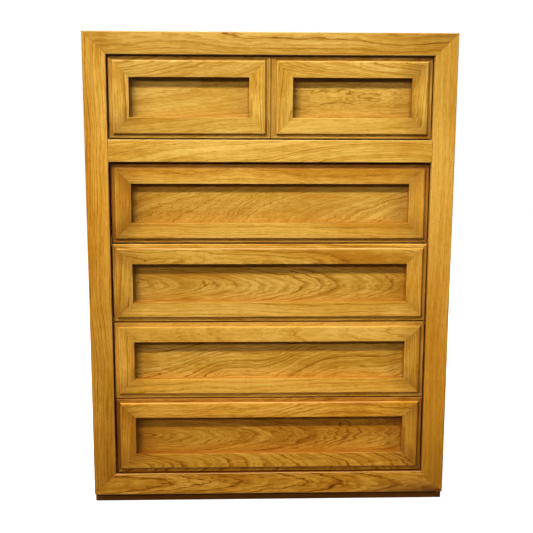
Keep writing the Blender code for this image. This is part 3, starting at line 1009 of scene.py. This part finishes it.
# %% The six frames
#   across depth  rise   ring    wander roll   ragged  figure amber tone  seed
FRAMES = {
    "drawer_1_frame_left": {
        "top": (0.082, 0.197, 0.124, 0.0050, 0.026, 0.011, 0.0014, 0.75, -0.06, 0.82, 31.84),
        "bottom": (-0.056, 0.123, -0.054, 0.0048, 0.019, 0.005, 0.0013, 0.55, -0.10, 0.92, 26.98),
        "left": (0.05, 0.05, 0.020, 0.0060, 0.010, 0.004, 0.0012, 0.8, 0.23, 0.92, 3.3),
        "right": (-0.04, 0.05, 0.050, 0.0070, 0.010, 0.004, 0.0014, 1.0, -0.10, 0.98, 4.1),
    },
    "drawer_1_frame_right": {
        "top": (0.03, 0.068, -0.077, 0.0051, 0.014, 0.011, 0.0015, 0.8, -0.01, 0.86, 66.26),
        "bottom": (0.04, 0.109, 0.030, 0.0069, 0.015, 0.002, 0.0011, 0.4, 0.03, 0.97, 17.22),
        "left": (0.04, 0.06, 0.030, 0.0060, 0.010, 0.004, 0.0012, 0.7, -0.10, 0.91, 7.2),
        "right": (-0.02, 0.05, -0.040, 0.0050, 0.010, 0.004, 0.0016, 1.0, -0.10, 0.97, 8.5),
    },
    "drawer_2_frame": {
        "top": (0.025, 0.141, -0.003, 0.0062, 0.009, 0.007, 0.0014, 0.8, 0.35, 0.99, 87.78),
        "bottom": (-0.078, 0.109, 0.011, 0.0064, 0.017, 0.004, 0.0012, 0.55, 0.23, 1.07, 56.21),
        "left": (0.05, 0.07, 0.010, 0.0060, 0.008, 0.003, 0.0012, 0.7, 0.75, 0.82, 3.8),
        "right": (-0.08, 0.06, 0.010, 0.0070, 0.008, 0.003, 0.0010, 0.5, 0.61, 0.96, 4.9),
    },
    "drawer_3_frame": {
        "top": (-0.018, 0.051, 0.035, 0.0057, 0.026, 0.013, 0.0016, 0.9, 0.21, 1.06, 56.48),
        "bottom": (-0.059, 0.097, -0.001, 0.0064, 0.008, 0.005, 0.0012, 0.6, 0.24, 1.18, 56.97),
        "left": (0.03, 0.05, 0.020, 0.0090, 0.010, 0.004, 0.0016, 1.0, 0.37, 1.03, 7.7),
        "right": (-0.05, 0.06, 0.020, 0.0060, 0.010, 0.004, 0.0012, 0.7, 0.45, 1.11, 8.1),
    },
    "drawer_4_frame": {
        "top": (0.01, 0.116, -0.085, 0.0090, 0.020, 0.009, 0.0020, 0.4, 0.26, 1.22, 40.5),
        "bottom": (-0.034, 0.074, -0.018, 0.0058, 0.016, 0.004, 0.0013, 0.5, 0.34, 1.38, 4.91),
        "left": (0.04, 0.06, 0.015, 0.0055, 0.008, 0.003, 0.0012, 0.75, 0.48, 1.22, 2.9),
        "right": (-0.05, 0.05, 0.020, 0.0065, 0.008, 0.003, 0.0012, 0.8, 0.41, 1.14, 3.6),
    },
    "drawer_5_frame": {
        "top": (0.048, 0.133, 0.025, 0.0050, 0.029, 0.010, 0.0018, 0.85, 0.51, 1.34, 35.39),
        "bottom": (-0.012, 0.089, 0.119, 0.0043, 0.013, 0.005, 0.0012, 0.95, 0.68, 1.12, 20.9),
        "left": (0.05, 0.06, 0.015, 0.0060, 0.008, 0.003, 0.0012, 0.7, 0.82, 1.04, 6.8),
        "right": (-0.04, 0.05, 0.020, 0.0060, 0.008, 0.003, 0.0012, 0.8, 0.74, 0.99, 7.4),
    },
}
#     top piece: glaze and painted shade on its lip, wear with painted highlight on its lip (painted shade
#     below 0), painted shade where its thumb starts, wear with painted highlight on its thumb; glaze and
#     painted shade on the bottom lip and on the side lips; painted shade in the corners, top left, top
#     right, bottom left, bottom right; lips in full painted shade
FRAME_FINISH_AND_LIGHT = {
    "drawer_1_frame_left": ((0.35, 0.0, 0.35, 0.25), 0.25, 0.42, (0.2, 0.1, 0.4, 0.1), ()),
    "drawer_1_frame_right": ((0.35, 0.0, 0.35, 0.25), 0.25, 0.42, (0.1, 0.45, 0.1, 0.4), ()),
    "drawer_2_frame": ((0.5, 0.0, 0.8, -0.7), 0.40, 0.59, (0.4, 0.4, 0.5, 0.4), ()),
    "drawer_3_frame": ((0.0, 0.1, 0.35, 0.55), 0.05, 0.42, (0.4, 0.25, 0.4, 0.3), ()),
    "drawer_4_frame": ((0.3, -0.25, 0.35, -0.2), 0.0, 0.29, (0.25, 0.4, 0.4, 0.45), ()),
    "drawer_5_frame": ((0.55, 0.0, 0.35, 0.45), 0.15, 0.5, (0.4, 0.4, 0.45, 0.5), ("left",)),
}
for node, logs in FRAMES.items():
    left_lip = PAIR_LIP if node.endswith("frame_right") else LIP
    right_lip = PAIR_LIP if node.endswith("frame_left") else LIP
    drawer_frame(node, node[:8], left_lip, right_lip, logs, *FRAME_FINISH_AND_LIGHT[node])
print("drawer fronts:", len(FRAMES), "frames of", len(FRAME_PIECES), "pieces")

# %% [markdown]
# ## Panels, sides and top
#
# The sunk panels are the front boards of the drawer boxes, seen through the frames. The top
# drawer's board is veneered in two leaves, one behind each frame. Sides and top are wider than a
# tree gives in one piece, so they are glued up from staves about as wide as a hand. The top has a
# darker tone, because the lamps light it most. These boards keep the shapes of the model and only
# get their oak.

# %% Oak for the wide boards
def dress(name, material):
    """Gives a board of the model its finish."""
    nodes[name].data.materials.clear()
    nodes[name].data.materials.append(material)


#   across depth  rise   ring    wander roll   ragged  figure amber tone  seed
PANELS = {
    1: (0.042, 0.118, 0.072, 0.0060, 0.016, 0.015, 0.0019, 0.38, 0.07, 0.85, 1.38),
    2: (-0.088, 0.208, -0.175, 0.0031, 0.020, 0.015, 0.0029, 0.6, 0.20, 0.94, 78.51),
    3: (-0.006, 0.073, 0.101, 0.0047, 0.007, 0.002, 0.0016, 0.85, 0.17, 0.97, 76.86),
    4: (-0.103, 0.172, -0.112, 0.0064, 0.046, 0.023, 0.0018, 0.95, 0.02, 1.16, 12.43),
    5: (-0.004, 0.059, 0.133, 0.0045, 0.012, 0.006, 0.0028, 1.0, 0.68, 0.99, 29.16),
}
RIGHT_LEAF = (-0.001, 0.082, 0.035, 0.0033, 0.018, 0.006, 0.0027, 0.75, -0.03, 0.85, 70.22)
#     painted shade at both ends of each panel
PANEL_END_SHADE = {1: 0.36, 2: 0.50, 3: 0.33, 4: 0.42, 5: 0.44}
border = LIP + RAISED
for number, log in PANELS.items():
    name = f"drawer_{number}_front_board"
    low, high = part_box(name)
    centre = (low + high) / 2
    right_log = None
    frame_low, frame_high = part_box(f"drawer_{number}_frame" + ("_right" if number == 1 else ""))
    aside = 0.0
    half_width = (frame_high.x - frame_low.x) / 2 - border
    if number == 1:
        right_log = RIGHT_LEAF
        half_width -= (PAIR_LIP - LIP) / 2
        aside = frame_high.x - border - half_width
    middle_z = (frame_low.z + frame_high.z) / 2 - centre.z
    half_height = (frame_high.z - frame_low.z) / 2 - border
    recess = (aside, half_width, middle_z, half_height, PANEL_END_SHADE[number])
    dress(name, oak(name + "_oak", "x", centre, log, right_log, recess=recess))

STAVE = 0.115
#   across depth  rise   ring    wander roll   ragged  figure amber tone  seed
WIDE = {
    "left_side_panel": (-0.06, 0.07, 0.012, 0.0060, 0.010, 0.005, 0.0012, 0.75, 0.3, 1.0, 8.4),
    "right_side_panel": (0.05, 0.08, -0.011, 0.0056, 0.010, 0.005, 0.0012, 0.75, 0.3, 1.0, 5.9),
    "top_panel": (-0.06, 0.07, 0.012, 0.0060, 0.010, 0.005, 0.0012, 0.75, 0.3, 0.72, 8.4),
}
for name, log in WIDE.items():
    low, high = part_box(name)
    grain = "top" if name == "top_panel" else "side"
    dress(name, oak(name + "_oak", grain, (low + high) / 2, log, staves=STAVE))
print("panels:", len(PANELS), "and wide boards glued from", round(STAVE * 1000), "mm staves")

# %% [markdown]
# ## Wood that isn't meant to be seen
#
# Only the show faces are oak. Drawer boxes, runners and rails are a pale, even hardwood, planed
# and left bare. Drawer bottoms, the floor of the case and its back are plywood, with their layers
# showing on the edges only. The plinth is a darker brown than the oak.
# All three are the same recipe in other colours: fine fibres and slow bands, both drawn out along
# the grain, so that the cut ends come out speckled as real end grain does.

# %% Plain woods
BARE = (paint(228, 203, 158), paint(198, 164, 112))
PLY = (paint(220, 190, 138), paint(190, 152, 98))
PLINTH_BROWN = (paint(148, 90, 20), paint(96, 54, 8))
RUBBED = paint(150, 106, 58)
PLAIN_RELIEF = (0.25, 0.0003)
BARE_SHEEN = 0.25
PLY_LAYER = 0.0024

# How fast fibres, bands and knocks change along, across and into a board.
FIBRES = (11, 420, 420)
BANDS = (1.7, 42, 42)
KNOCKS = (55, 200, 200)

# The heights, from a plinth's middle, between which scuffs get fewer, the share left above them, and
# how far from its ledge a runner is rubbed.
SCUFFED = (-0.012, 0.004)
SCUFFED_LESS = 0.25
RUB_FADE = (0.0002, 0.0006)


def plain_wood(name, grain, centre, colours, seed, layers=False, rubbed_at=None, scuffed=False):
    """Bare, layered or dark brown wood. A runner is rubbed dark and smooth at the height given, and a
    plinth is scuffed by shoes, most of all near the floor."""
    material = bpy.data.materials.new(name)
    material.use_nodes = True
    tree = material.node_tree
    axes = object_axes(tree, centre)
    along, across, depth = [axes[axis] for axis in AXES[grain]]
    point = join_three(tree, along, across, depth)
    fibre = cloud(tree, point, FIBRES, seed, 2.0)
    band = cloud(tree, point, BANDS, seed + 2.3, 2.0)
    deep = calc(tree, "MULTIPLY_ADD", fibre, 0.8, calc(tree, "MULTIPLY_ADD", band, 1.2, -0.5))
    rough = calc(tree, "MULTIPLY_ADD", fibre, 0.2, 0.5)
    if layers:
        layer = calc(tree, "SINE", calc(tree, "MULTIPLY", depth, 2 * math.pi / PLY_LAYER))
        deep = calc(tree, "MULTIPLY_ADD", layer, 0.35, deep)
    if scuffed:
        knocks = ease(tree, cloud(tree, point, KNOCKS, seed + 4.1, 3.0), 0.6, 0.75)
        foot = ease(tree, axes["Z"], *SCUFFED, 1.0, SCUFFED_LESS)
        deep = calc(tree, "SUBTRACT", deep, calc(tree, "MULTIPLY", knocks, foot))
    colour = blend(tree, ease(tree, deep, 0.0, 1.0), *colours)
    if rubbed_at is not None:
        away = calc(tree, "ABSOLUTE", calc(tree, "SUBTRACT", axes["Z"], rubbed_at))
        rubbed = calc(tree, "MULTIPLY", ease(tree, away, *RUB_FADE, 1, 0), band)
        colour = blend(tree, rubbed, colour, RUBBED)
        rough = calc(tree, "MULTIPLY_ADD", rubbed, -0.4, rough)
    polish(tree, colour, rough, fibre, PLAIN_RELIEF, SATIN if scuffed else BARE_SHEEN)
    return material


print("plywood layers:", round(PLY_LAYER * 1000, 1), "mm each")

# %% Boxes, runners, rails and plinth
# The height of a runner's guide above its ledge, and what makes each board differ from the last one.
GUIDE_HEIGHT = 0.0200
SEED_STEP = 1.7
plain = []
for number in range(1, 6):
    for part, grain in (("left_side", "box"), ("right_side", "box"), ("back", "x")):
        plain.append((f"drawer_{number}_{part}", grain, BARE, {}))
    plain.append((f"drawer_{number}_bottom", "top", PLY, {"layers": True}))
    for side in ("left", "right"):
        low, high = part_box(f"runner_{side}_{number}")
        ledge = high.z - GUIDE_HEIGHT - (low.z + high.z) / 2
        plain.append((f"runner_{side}_{number}", "bearer", BARE, {"rubbed_at": ledge}))
for name in ("kicker_rail", "divider_rail_1", "divider_rail_2", "divider_rail_3"):
    plain.append((name, "top", BARE, {}))
plain.append(("bottom_panel", "top", PLY, {"layers": True}))
for name, grain in (("front", "x"), ("back", "x"), ("left", "box"), ("right", "box")):
    plain.append((f"plinth_{name}", grain, PLINTH_BROWN, {"scuffed": True}))
for seed, (name, grain, colours, extra) in enumerate(plain):
    low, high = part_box(name)
    dress(name, plain_wood(name + "_wood", grain, (low + high) / 2, colours, SEED_STEP * seed, **extra))
print("plain wood on", len(plain), "boards")

# %% [markdown]
# ## The back
#
# The back is a sheet of plywood let into rabbets and nailed on last. It is made again here a
# fraction of a millimetre thinner, so that the flat heads of its nails can stand on it and still
# not reach past the back edges of the case.

# %% Plywood back
# Room for the nail heads, the seed of the plywood, and the turn below which two faces count as one.
NAIL_STAND = 0.0004
BACK_SEED = 77.0
FLAT = 0.01
back_low, back_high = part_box("back_panel")
back_face = back_high.y - NAIL_STAND
shape = bmesh.new()
for x in (back_low.x, back_high.x):
    for y in (back_low.y, back_face):
        for z in (back_low.z, back_high.z):
            shape.verts.new((x, y, z))
bmesh.ops.convex_hull(shape, input=list(shape.verts))
bmesh.ops.dissolve_limit(shape, angle_limit=FLAT, verts=shape.verts, edges=shape.edges)
back_ply = plain_wood("back_ply", "z", (back_low + back_high) / 2, PLY, BACK_SEED, layers=True)
finish_piece("back_panel_ply", shape, [back_ply], "case", ["back_panel"])
print("back:", round((back_face - back_low.y) * 1000, 1), "mm plywood")

# %% [markdown]
# ## Small steel
#
# Screws hold the runners, flat nails hold the back, and thin nails hold the drawer backs and
# bottoms. One head is modelled and then set on every marked point, turned to face outwards and spun
# by chance, for nobody lines up screw slots inside a chest. That is what Geometry Nodes are for:
# the marks stay a short list, and the heads follow.

# %% A tree that sets heads on points
HEAD_SIDES = 14
SPIN_SEED = 5
# A slot's length and width in radii of its head, and its height in heights. The slot isn't cut: it
# is a dark box standing a little through the head, as painted shade of a slot.
SLOT_LENGTH = 1.7
SLOT_WIDTH = 0.24
SLOT_HEIGHT = 1.1


def make_head_tree(name, slotted):
    """Sets a round head on every point, facing along the point's own arrow."""
    tree = bpy.data.node_groups.new(name, "GeometryNodeTree")
    tree.interface.new_socket("Points", in_out="INPUT", socket_type="NodeSocketGeometry")
    for label, value in (("Radius", 0.004), ("Height", 0.0004)):
        socket = tree.interface.new_socket(label, in_out="INPUT", socket_type="NodeSocketFloat")
        socket.default_value = value
    for label in ("Steel", "Shadow"):
        tree.interface.new_socket(label, in_out="INPUT", socket_type="NodeSocketMaterial")
    tree.interface.new_socket("Heads", in_out="OUTPUT", socket_type="NodeSocketGeometry")
    given = tree.nodes.new("NodeGroupInput").outputs
    made = tree.nodes.new("NodeGroupOutput")

    def add(kind, **inputs):
        node = tree.nodes.new(kind)
        for label, value in inputs.items():
            feed(tree, node.inputs[label.replace("_", " ")], value)
        return node

    disc = add("GeometryNodeMeshCylinder", Vertices=HEAD_SIDES)
    tree.links.new(given["Radius"], disc.inputs["Radius"])
    tree.links.new(given["Height"], disc.inputs["Depth"])
    geometry = disc.outputs["Mesh"]
    if slotted:
        length = calc(tree, "MULTIPLY", given["Radius"], SLOT_LENGTH)
        width = calc(tree, "MULTIPLY", given["Radius"], SLOT_WIDTH)
        height = calc(tree, "MULTIPLY", given["Height"], SLOT_HEIGHT)
        shade_box = add("GeometryNodeMeshCube", Size=join_three(tree, length, width, height))
        mark = tree.nodes.new("GeometryNodeStoreNamedAttribute")
        mark.data_type = "BOOLEAN"
        mark.domain = "FACE"
        mark.inputs["Name"].default_value = "in_slot"
        mark.inputs["Value"].default_value = True
        tree.links.new(shade_box.outputs["Mesh"], mark.inputs["Geometry"])
        both = tree.nodes.new("GeometryNodeJoinGeometry")
        tree.links.new(mark.outputs[0], both.inputs[0])
        tree.links.new(geometry, both.inputs[0])
        geometry = both.outputs[0]
    arrow = tree.nodes.new("GeometryNodeInputNamedAttribute")
    arrow.data_type = "FLOAT_VECTOR"
    arrow.inputs["Name"].default_value = "facing"
    turn = tree.nodes.new("FunctionNodeAlignRotationToVector")
    turn.axis = "Z"
    tree.links.new(arrow.outputs[0], turn.inputs["Vector"])
    dice = tree.nodes.new("FunctionNodeRandomValue")
    dice.data_type = "FLOAT"
    dice.inputs[3].default_value = 2 * math.pi
    dice.inputs["Seed"].default_value = SPIN_SEED
    about = tree.nodes.new("FunctionNodeAxisAngleToRotation")
    tree.links.new(dice.outputs[1], about.inputs["Angle"])
    spin = tree.nodes.new("FunctionNodeRotateRotation")
    spin.rotation_space = "LOCAL"
    tree.links.new(turn.outputs[0], spin.inputs[0])
    tree.links.new(about.outputs[0], spin.inputs[1])
    placed = add(
        "GeometryNodeInstanceOnPoints",
        Points=given["Points"],
        Instance=geometry,
        Rotation=spin.outputs[0],
    )
    whole = add("GeometryNodeRealizeInstances", Geometry=placed.outputs[0])
    last = add("GeometryNodeSetMaterial", Geometry=whole.outputs[0], Material=given["Steel"])
    if slotted:
        marked = tree.nodes.new("GeometryNodeInputNamedAttribute")
        marked.data_type = "BOOLEAN"
        marked.inputs["Name"].default_value = "in_slot"
        last = add(
            "GeometryNodeSetMaterial",
            Geometry=last.outputs[0],
            Selection=marked.outputs[0],
            Material=given["Shadow"],
        )
    tree.links.new(last.outputs[0], made.inputs[0])
    return tree


head_trees = {True: make_head_tree("slotted_heads", True), False: make_head_tree("nail_heads", False)}
print("head trees:", ", ".join(tree.name for tree in head_trees.values()))

# %% Steel, and heads on marks
TARNISH = (420, 420, 420)
STEEL_ROUGH = (0.3, 0.6)
METAL = 0.9


def steel(name, light, dark):
    """Bare steel, tarnished darker and rougher in small clouds."""
    material = bpy.data.materials.new(name)
    material.use_nodes = True
    tree = material.node_tree
    shader = tree.nodes["Principled BSDF"]
    place = tree.nodes.new("ShaderNodeTexCoord").outputs["Object"]
    clouds = cloud(tree, place, TARNISH, 3.0, 2.0)
    feed(tree, shader.inputs["Base Color"], blend(tree, ease(tree, clouds, 0.35, 0.7), light, dark))
    feed(tree, shader.inputs["Roughness"], ease(tree, clouds, 0.3, 0.7, *STEEL_ROUGH))
    shader.inputs["Metallic"].default_value = METAL
    return material


bright_steel = steel("bright_steel", paint(190, 186, 178), paint(140, 128, 110))
# The dark steel in the slots is painted shade, where a real slot would be a shaded groove.
slot_shade = steel("slot_shade", paint(60, 54, 48), paint(36, 30, 26))


def set_heads(name, body, marks, radius, height, slotted):
    """Heads on a list of marks, each a place and the way the head faces."""
    mesh = bpy.data.meshes.new(name + "_marks")
    mesh.from_pydata([place for place, facing in marks], [], [])
    arrows = mesh.attributes.new("facing", "FLOAT_VECTOR", "POINT")
    for item, (place, facing) in zip(arrows.data, marks):
        item.vector = facing
    marked = bpy.data.objects.new(name + "_marks", mesh)
    bpy.context.scene.collection.objects.link(marked)
    tree = head_trees[slotted]
    modifier = marked.modifiers.new("heads", "NODES")
    modifier.node_group = tree
    values = {"Radius": radius, "Height": height, "Steel": bright_steel, "Shadow": slot_shade}
    for item in tree.interface.items_tree:
        if item.in_out == "INPUT" and item.name in values:
            modifier[item.identifier] = values[item.name]
    view = bpy.context.evaluated_depsgraph_get()
    made = bpy.data.meshes.new_from_object(marked.evaluated_get(view))
    made.name = name
    bpy.data.objects.remove(marked)
    piece = bpy.data.objects.new(name, made)
    bpy.context.scene.collection.objects.link(piece)
    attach(piece, body)
    return len(made.polygons)


print("steel:", bright_steel.name, "for the heads,", slot_shade.name, "in the slots")

# %% Screws and nails
# Where the heads sit: the step between nails, and how far in from edges and ends they stay. A size is
# the radius and the height of a head.
NAIL_STEP = 0.11
NAIL_EDGE = 0.005
NAIL_END = 0.012
BACK_NAIL_RADIUS = 0.0026
SCREW_AT = (-0.13, 0.03, 0.19)
SCREW_SIZE = (0.0040, 0.0006)
SCREW_STAND = 0.00015
GUIDE_CLEARANCE = 0.0015
SIDE_NAILS = 4
SIDE_NAIL_END = 0.02
BOTTOM_NAILS = 7
BOTTOM_NAIL_END = 0.03
BOX_NAIL_SIZE = (0.0016, 0.0005)


def spaced(low, high, inset, count):
    """Places set evenly between two ends, the first and last a little way in."""
    return [low + inset + (high - low - 2 * inset) * index / (count - 1) for index in range(count)]


back_nails = []
nail_y = back_face + NAIL_STAND / 4
floor_low, floor_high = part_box("bottom_panel")
up = round((back_high.z - back_low.z) / NAIL_STEP) + 1
wide = round((back_high.x - back_low.x) / NAIL_STEP) + 1
for x in (back_low.x + NAIL_EDGE, back_high.x - NAIL_EDGE):
    for z in spaced(back_low.z, back_high.z, NAIL_END, up):
        back_nails.append(((x, nail_y, z), (0, 1, 0)))
for z in (back_high.z - NAIL_EDGE, (floor_low.z + floor_high.z) / 2):
    for x in spaced(back_low.x, back_high.x, 0, wide)[1:-1]:
        back_nails.append(((x, nail_y, z), (0, 1, 0)))
faces = set_heads("back_nails", "case", back_nails, BACK_NAIL_RADIUS, NAIL_STAND, False)

runner_screws = []
for number in range(1, 6):
    for side, inward in (("left", 1), ("right", -1)):
        low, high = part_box(f"runner_{side}_{number}")
        box_low, box_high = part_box(f"drawer_{number}_{side}_side")
        guide = box_low.x - GUIDE_CLEARANCE if inward > 0 else box_high.x + GUIDE_CLEARANCE
        for y in SCREW_AT:
            place = (guide + inward * SCREW_STAND, y, high.z - GUIDE_HEIGHT / 2)
            runner_screws.append((place, (inward, 0, 0)))
faces += set_heads("runner_screws", "case", runner_screws, *SCREW_SIZE, True)

for number in range(1, 6):
    low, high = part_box(f"drawer_{number}_back")
    bottom_low, bottom_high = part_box(f"drawer_{number}_bottom")
    middle = (low.y + high.y) / 2
    marks = []
    for side, outward in (("left", -1), ("right", 1)):
        side_low, side_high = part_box(f"drawer_{number}_{side}_side")
        face = side_low.x if outward < 0 else side_high.x
        for z in spaced(low.z, high.z, SIDE_NAIL_END, SIDE_NAILS):
            marks.append(((face, middle, z), (outward, 0, 0)))
    for x in spaced(bottom_low.x, bottom_high.x, BOTTOM_NAIL_END, BOTTOM_NAILS):
        marks.append(((x, middle, bottom_low.z), (0, 0, -1)))
    faces += set_heads(f"drawer_{number}_nails", f"drawer_{number}", marks, *BOX_NAIL_SIZE, False)
print("heads:", len(back_nails), "back nails,", len(runner_screws), "screws,", faces, "faces in all")
